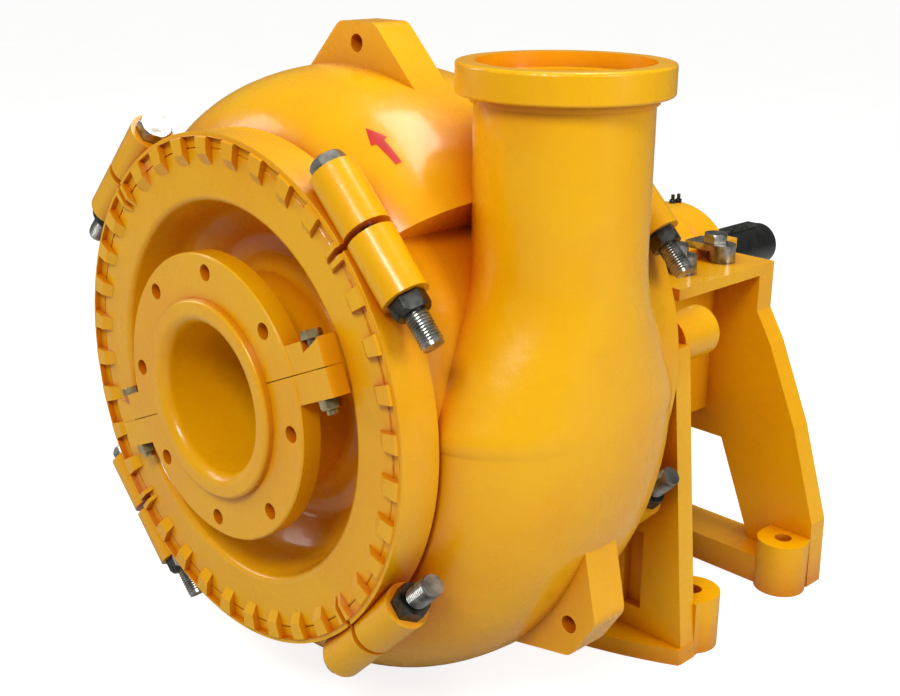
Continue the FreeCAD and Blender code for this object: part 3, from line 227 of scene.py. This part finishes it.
def seal_rubber():
    material, tree, shader = new_material("seal_rubber")
    coords = object_coords(tree)
    tone = ramp(tree, noise(tree, coords, 90.0, 5.0),
                [(0.3, (0.012, 0.012, 0.013)), (0.7, (0.035, 0.034, 0.034))])
    tree.links.new(tone, shader.inputs["Base Color"])
    tree.links.new(spread(tree, noise(tree, coords, 40.0), 0.55, 0.8), shader.inputs["Roughness"])
    bump(tree, shader, [(noise(tree, coords, 500.0, 3.0), 0.3, 0.0003)])
    return material


def braided_packing():
    """Greased square rope packing."""
    material, tree, shader = new_material("braided_packing")
    coords = object_coords(tree)
    weave = tree.nodes.new("ShaderNodeTexWave")
    weave.wave_type = "BANDS"
    weave.bands_direction = "DIAGONAL"
    weave.inputs["Scale"].default_value = 90.0
    weave.inputs["Distortion"].default_value = 3.0
    tree.links.new(coords, weave.inputs["Vector"])
    tone = ramp(tree, weave.outputs["Fac"], [(0.1, (0.20, 0.17, 0.12)), (0.9, (0.55, 0.49, 0.38))])
    tree.links.new(tone, shader.inputs["Base Color"])
    shader.inputs["Roughness"].default_value = 0.7
    bump(tree, shader, [(weave.outputs["Fac"], 0.6, 0.001)])
    return material


def arrow_paint():
    material, tree, shader = new_material("arrow_paint")
    coords = object_coords(tree)
    tone = ramp(tree, noise(tree, coords, 60.0, 4.0),
                [(0.3, (0.55, 0.010, 0.004)), (0.7, (0.75, 0.022, 0.008))])
    tree.links.new(tone, shader.inputs["Base Color"])
    tree.links.new(spread(tree, noise(tree, coords, 90.0), 0.3, 0.5), shader.inputs["Roughness"])
    bump(tree, shader, [(noise(tree, coords, 300.0, 2.0), 0.2, 0.0003)])
    return material


MATERIALS = {
    "yellow_enamel": yellow_enamel("yellow_enamel", 1.0),
    "gland_iron": yellow_enamel("gland_enamel", 0.7),
    "zinc_steel": metal("zinc_steel", (0.22, 0.22, 0.19), (0.60, 0.59, 0.54), 0.30, 45.0),
    "dark_steel": metal("dark_steel", (0.030, 0.031, 0.028), (0.12, 0.12, 0.11), 0.36, 60.0),
    "white_iron": metal("white_iron", (0.16, 0.15, 0.14), (0.36, 0.34, 0.32), 0.50, 40.0,
                        (0.20, 0.12, 0.07), 0.5),
    "oiled_shaft": oiled_black(),
    "key_steel": metal("key_steel", (0.05, 0.05, 0.045), (0.20, 0.20, 0.18), 0.34, 80.0),
    "sleeve_steel": metal("sleeve_steel", (0.45, 0.44, 0.42), (0.72, 0.71, 0.69), 0.20, 120.0),
    "seal_rubber": seal_rubber(),
    "lantern_brass": metal("lantern_brass", (0.42, 0.27, 0.09), (0.78, 0.57, 0.26), 0.28, 70.0),
    "packing_braid": braided_packing(),
    "bearing_steel": metal("bearing_steel", (0.42, 0.42, 0.42), (0.78, 0.78, 0.77), 0.16, 90.0),
}
YELLOW_ZINC = metal("yellow_zinc", (0.36, 0.25, 0.09), (0.72, 0.60, 0.34), 0.28, 55.0,
                    (0.40, 0.34, 0.30))
ARROW_PAINT = arrow_paint()
THREAD_STEEL = metal("thread_steel", (0.10, 0.10, 0.09), (0.42, 0.41, 0.38), 0.34, 60.0)


def dress(node, material):
    """Give a CAD node its looks: every slot of its object gets one material."""
    for material_slot in NODES[node].material_slots:
        material_slot.link = "OBJECT"
        material_slot.material = material


for subpart in RECORD["subparts"]:
    dress(subpart["node"], MATERIALS[subpart["material_slot"]])
for small_node in ("flange_ear_bolts", "flange_ear_nuts"):
    dress(small_node, YELLOW_ZINC)


# ---------------------------------------------------------------- bolt threads

CLAMP_BOLT_RADIUS = 0.0135
THREAD_LENGTH = 0.040
THREAD_PITCH = 0.0038
THREAD_RISE = 0.0013
THREAD_STEPS = 24           # steps in one turn
THREAD_FADE = 8             # steps over which a thread's ends run out
THREAD_END_GAP = 0.003      # bare stretch at the bolt's end


def islands(obj):
    """The vertex positions of each loose piece of a mesh, in world space."""
    mesh = bmesh.new()
    mesh.from_mesh(obj.data)
    bmesh.ops.remove_doubles(mesh, verts=mesh.verts, dist=1e-6)
    left = set(mesh.verts)
    groups = []
    while left:
        stack = [left.pop()]
        group = []
        while stack:
            vert = stack.pop()
            group.append(obj.matrix_world @ vert.co)
            for edge in vert.link_edges:
                other = edge.other_vert(vert)
                if other in left:
                    left.remove(other)
                    stack.append(other)
        groups.append(group)
    mesh.free()
    return groups


def thread_ridges(mesh, start, along, length, radius):
    """One helical ridge round a bolt: a thin triangular rib that follows the thread."""
    count = int(length / THREAD_PITCH * THREAD_STEPS)
    root = radius - 0.0006
    reach = along * THREAD_PITCH * 0.42
    side = along.orthogonal().normalized()
    up = along.cross(side)
    previous = None
    for step in range(count + 1):
        turn = 2 * math.pi * step / THREAD_STEPS
        outward = side * math.cos(turn) + up * math.sin(turn)
        base = start + along * (length * step / count)
        fade = min(1.0, step / THREAD_FADE, (count - step) / THREAD_FADE)
        crest = radius + THREAD_RISE * fade
        ring = [mesh.verts.new(base + outward * root - reach),
                mesh.verts.new(base + outward * crest),
                mesh.verts.new(base + outward * root + reach)]
        if previous:
            for index in range(3):
                other = (index + 1) % 3
                mesh.faces.new((previous[index], previous[other], ring[other], ring[index]))
        else:
            mesh.faces.new(ring)
        previous = ring
    mesh.faces.new(list(reversed(previous)))


def add_threads(name, node, body, radius, length):
    """Threads on the free end of each bolt of a node."""
    mesh = bmesh.new()
    for points in islands(NODES[node]):
        head, tip = bolt_ends(points)
        along = (tip - head).normalized()
        thread_ridges(mesh, tip - along * (length + THREAD_END_GAP), along, length, radius)
    bmesh.ops.recalc_face_normals(mesh, faces=mesh.faces)
    data = bpy.data.meshes.new(name)
    mesh.to_mesh(data)
    mesh.free()
    threads = bpy.data.objects.new(name, data)
    bpy.context.scene.collection.objects.link(threads)
    data.materials.append(THREAD_STEEL)
    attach(threads, body)


def bolt_ends(points):
    """The centres of a bolt's two end faces, the head's first: it is the wide one."""
    middle = sum(points, Vector()) / len(points)
    far = max(points, key=lambda p: (p - middle).length)
    direction = (far - middle).normalized()
    for _ in range(6):
        total = Vector()
        for point in points:
            offset = point - middle
            total += offset * offset.dot(direction)
        direction = total.normalized()
    reach = [(point - middle).dot(direction) for point in points]
    low, high = min(reach), max(reach)
    ends = []
    for limit in (low, high):
        near = [p for p, r in zip(points, reach) if abs(r - limit) < 0.0005]
        centre = sum(near, Vector()) / len(near)
        width = max((p - centre).length for p in near)
        ends.append((width, centre))
    ends.sort(key=lambda end: -end[0])
    return ends[0][1], ends[1][1]


for ring in ("front", "rear"):
    add_threads(ring + "_clamp_threads", ring + "_clamp_bolts", "pump_frame",
                CLAMP_BOLT_RADIUS, THREAD_LENGTH)

# ---------------------------------------------------------------- rotation arrow

ARROW_FROM = 68.0           # degrees round the shaft, at the tip
ARROW_TO = 57.5
ARROW_Y = 0.120             # behind the clamp's front
ARROW_STEPS = 28
ARROW_HEAD = 0.40           # the head's share of the length
ARROW_HEAD_HALF = 0.011
ARROW_TAIL_HALF = 0.0055
PAINT_LIFT = 0.0006
RAY_START = 0.9             # well outside the casing


def make_arrow():
    """A bent red arrow painted on the volute beside the top clamp joint."""
    casing = NODES["volute_casing"]
    surface = BVHTree.FromObject(casing, bpy.context.evaluated_depsgraph_get())
    to_local = casing.matrix_world.inverted()
    mesh = bmesh.new()
    rows = []
    for step in range(ARROW_STEPS + 1):
        share = step / ARROW_STEPS
        angle = math.radians(ARROW_FROM + (ARROW_TO - ARROW_FROM) * share)
        if share < ARROW_HEAD:
            half = ARROW_HEAD_HALF * share / ARROW_HEAD + 0.0002
        elif share < ARROW_HEAD + 0.02:
            half = ARROW_HEAD_HALF
        else:
            half = ARROW_TAIL_HALF * (1.15 - 0.45 * share)
        row = []
        for across in (-1.0, -0.5, 0.0, 0.5, 1.0):
            y = ARROW_Y + half * across
            outward = Vector((math.cos(angle), 0.0, math.sin(angle)))
            start = Vector((0.0, CLAMP_FRONT + y, AXIS_HEIGHT)) + outward * RAY_START
            hit, normal, _, _ = surface.ray_cast(to_local @ start,
                                                 to_local.to_3x3() @ -outward)
            if hit is None:
                raise RuntimeError("the arrow misses the casing")
            world_hit = casing.matrix_world @ hit
            world_normal = (casing.matrix_world.to_3x3() @ normal).normalized()
            if world_normal.dot(outward) < 0:
                world_normal = -world_normal
            row.append(mesh.verts.new(world_hit + world_normal * PAINT_LIFT))
        rows.append(row)
    for first, second in zip(rows, rows[1:]):
        for index in range(4):
            mesh.faces.new((first[index], first[index + 1], second[index + 1], second[index]))
    bmesh.ops.recalc_face_normals(mesh, faces=mesh.faces)
    data = bpy.data.meshes.new("rotation_arrow")
    mesh.to_mesh(data)
    mesh.free()
    arrow = bpy.data.objects.new("rotation_arrow", data)
    bpy.context.scene.collection.objects.link(arrow)
    data.materials.append(ARROW_PAINT)
    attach(arrow, "pump_frame")


make_arrow()

# ---------------------------------------------------------------- stage, light and camera

FLOOR_GLOW = 0.82


def floor_material():
    """White paper that glows for the camera alone, to meet the white background evenly."""
    material, tree, shader = new_material("floor_white")
    tone = ramp(tree, noise(tree, object_coords(tree), 3.0, 2.0),
                [(0.3, (0.44, 0.44, 0.44)), (0.7, (0.48, 0.48, 0.48))])
    tree.links.new(tone, shader.inputs["Base Color"])
    shader.inputs["Roughness"].default_value = 0.95
    shader.inputs["Specular IOR Level"].default_value = 0.0
    shader.inputs["Emission Color"].default_value = (1.0, 1.0, 1.0, 1.0)
    path = tree.nodes.new("ShaderNodeLightPath")
    glow = math_node(tree, "MULTIPLY", path.outputs["Is Camera Ray"], FLOOR_GLOW)
    tree.links.new(glow, shader.inputs["Emission Strength"])
    return material


def make_floor():
    mesh = bpy.data.meshes.new("studio_floor")
    half = 40.0
    mesh.from_pydata([(-half, -half, 0), (half, -half, 0), (half, half, 0), (-half, half, 0)],
                     [], [(0, 1, 2, 3)])
    floor = bpy.data.objects.new("studio_floor", mesh)
    floor.location.z = -0.001
    mesh.materials.append(floor_material())
    bpy.context.scene.collection.objects.link(floor)


def make_world():
    world = bpy.data.worlds.new("studio_world")
    bpy.context.scene.world = world
    world.use_nodes = True
    tree = world.node_tree
    tree.nodes.clear()
    path = tree.nodes.new("ShaderNodeLightPath")
    seen = tree.nodes.new("ShaderNodeBackground")
    seen.inputs["Color"].default_value = (1.0, 1.0, 1.0, 1.0)
    seen.inputs["Strength"].default_value = 1.0
    fill = tree.nodes.new("ShaderNodeBackground")
    fill.inputs["Color"].default_value = (1.0, 0.98, 0.95, 1.0)
    fill.inputs["Strength"].default_value = 0.34
    mirror = tree.nodes.new("ShaderNodeBackground")
    mirror.inputs["Color"].default_value = (1.0, 0.97, 0.92, 1.0)
    mirror.inputs["Strength"].default_value = 0.12
    lit = tree.nodes.new("ShaderNodeMixShader")
    choose = tree.nodes.new("ShaderNodeMixShader")
    output = tree.nodes.new("ShaderNodeOutputWorld")
    tree.links.new(path.outputs["Is Camera Ray"], choose.inputs["Fac"])
    tree.links.new(path.outputs["Is Glossy Ray"], lit.inputs["Fac"])
    tree.links.new(fill.outputs["Background"], lit.inputs[1])
    tree.links.new(mirror.outputs["Background"], lit.inputs[2])
    tree.links.new(lit.outputs["Shader"], choose.inputs[1])
    tree.links.new(seen.outputs["Background"], choose.inputs[2])
    tree.links.new(choose.outputs["Shader"], output.inputs["Surface"])


def aim(obj, target):
    forward = (Vector(target) - obj.location).normalized()
    obj.rotation_euler = forward.to_track_quat("-Z", "Y").to_euler()


def area_light(name, location, target, size, power):
    data = bpy.data.lights.new(name, "AREA")
    data.shape = "RECTANGLE"
    data.size, data.size_y = size
    data.energy = power
    lamp = bpy.data.objects.new(name, data)
    lamp.location = location
    bpy.context.scene.collection.objects.link(lamp)
    aim(lamp, target)


def make_camera():
    """The photograph's viewpoint, found from the clamp ring, the base holes and the shaft."""
    data = bpy.data.cameras.new("photo_camera")
    data.sensor_width = 36.0
    data.lens = 52.0
    camera = bpy.data.objects.new("photo_camera", data)
    camera.location = (1.3605, -1.6325, 1.0650)
    bpy.context.scene.collection.objects.link(camera)
    aim(camera, (0.4208, -0.7240, 0.6313))
    camera.rotation_euler.rotate_axis("Z", math.radians(0.396))
    bpy.context.scene.camera = camera


make_floor()
make_world()
CENTRE = (0.0, -0.3, AXIS_HEIGHT)
LAMPS = (
    # name, place, size in metres, watts
    ("key_light", (1.6, -3.0, 3.2), (1.2, 1.0), 78),
    ("side_light", (3.6, 0.2, 1.9), (0.8, 2.0), 46),
    ("left_light", (-2.8, -2.0, 1.8), (0.9, 2.0), 24),
    ("top_light", (0.2, 0.4, 3.4), (2.0, 0.9), 44),
)
for lamp_name, place, size, watts in LAMPS:
    area_light(lamp_name, place, CENTRE, size, watts)
make_camera()

scene = bpy.context.scene
scene.view_settings.view_transform = "Standard"
scene.view_settings.look = "None"
